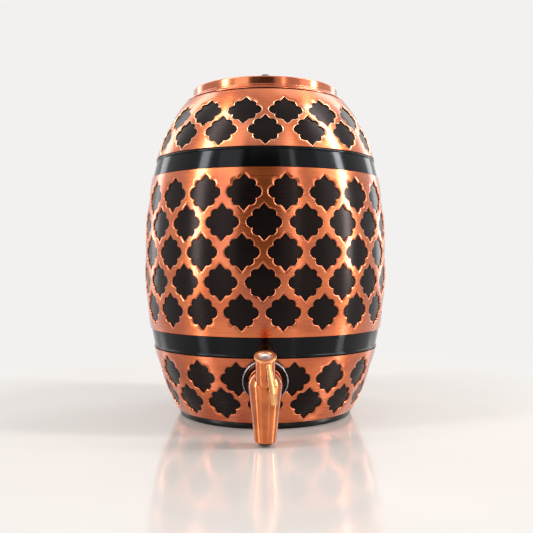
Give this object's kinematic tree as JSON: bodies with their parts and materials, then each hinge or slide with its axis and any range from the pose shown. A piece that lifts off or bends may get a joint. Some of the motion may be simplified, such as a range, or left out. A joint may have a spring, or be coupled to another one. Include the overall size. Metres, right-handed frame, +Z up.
{
  "type": "water dispenser",
  "caption": "Barrel-shaped water dispenser in pierced copper over a black vessel, with lift-off lid, knob and quarter-turn spout tap.",
  "frame": {"origin": "centre of the foot's flat underside, on the barrel's axis", "axes": "+Z up along the barrel's axis; the tap faces -Y; +X is to the viewer's right when facing the tap"},
  "size_m": [0.1902, 0.2326, 0.2691],
  "materials": {
    "copper": "polished copper, finely brushed round the barrel",
    "pale_copper": "polished pale copper strip",
    "black_lacquer": "glossy black lacquer",
    "black_base": "satin black",
    "dark_knob": "dark grey, glossy",
    "black_plastic": "glossy black",
    "black_rubber": "matt black",
    "brass": "plain turned brass",
    "silver_trim": "bright silver",
    "silicone": "clear silicone, matt"
  },
  "bodies": {
    "body": {"vessel_floor": "black_lacquer", "vessel_lower_half": "black_lacquer", "vessel_upper_half": "black_lacquer", "vessel_shoulder": "black_lacquer", "lower_jacket": "copper", "lower_hoop": "black_lacquer", "middle_jacket": "copper", "upper_hoop": "black_lacquer", "upper_jacket": "copper", "foot": "black_base", "mouth_collar": "copper", "tap_body": "copper", "tap_escutcheon": "black_plastic", "tap_seal": "silicone", "tap_washer": "silver_trim", "tap_lock_nut": "brass", "spout_insert": "black_rubber", "gland_nut": "brass", "stop_pin": "silver_trim"},
    "lid": {"lid": "copper", "lid_knob": "dark_knob", "lid_washer": "brass", "lid_screw": "brass"},
    "handle": {"valve_spindle": "brass", "spindle_ring_upper": "black_rubber", "spindle_ring_lower": "black_rubber", "handle_sleeve": "copper", "handle_lever": "pale_copper", "handle_cap": "copper", "handle_screw": "silver_trim"}
  },
  "joints": [
    {"name": "lid_lift", "type": "slide", "parent": "body", "child": "lid", "axis": [0, 0, 1], "range_m": [0, 0.06]},
    {"name": "handle_turn", "type": "hinge", "parent": "body", "child": "handle", "pos_m": [0, -0.11879, 0.0405], "axis": [0, -0.3907, 0.9205], "range_deg": [-16, 74]}
  ]
}
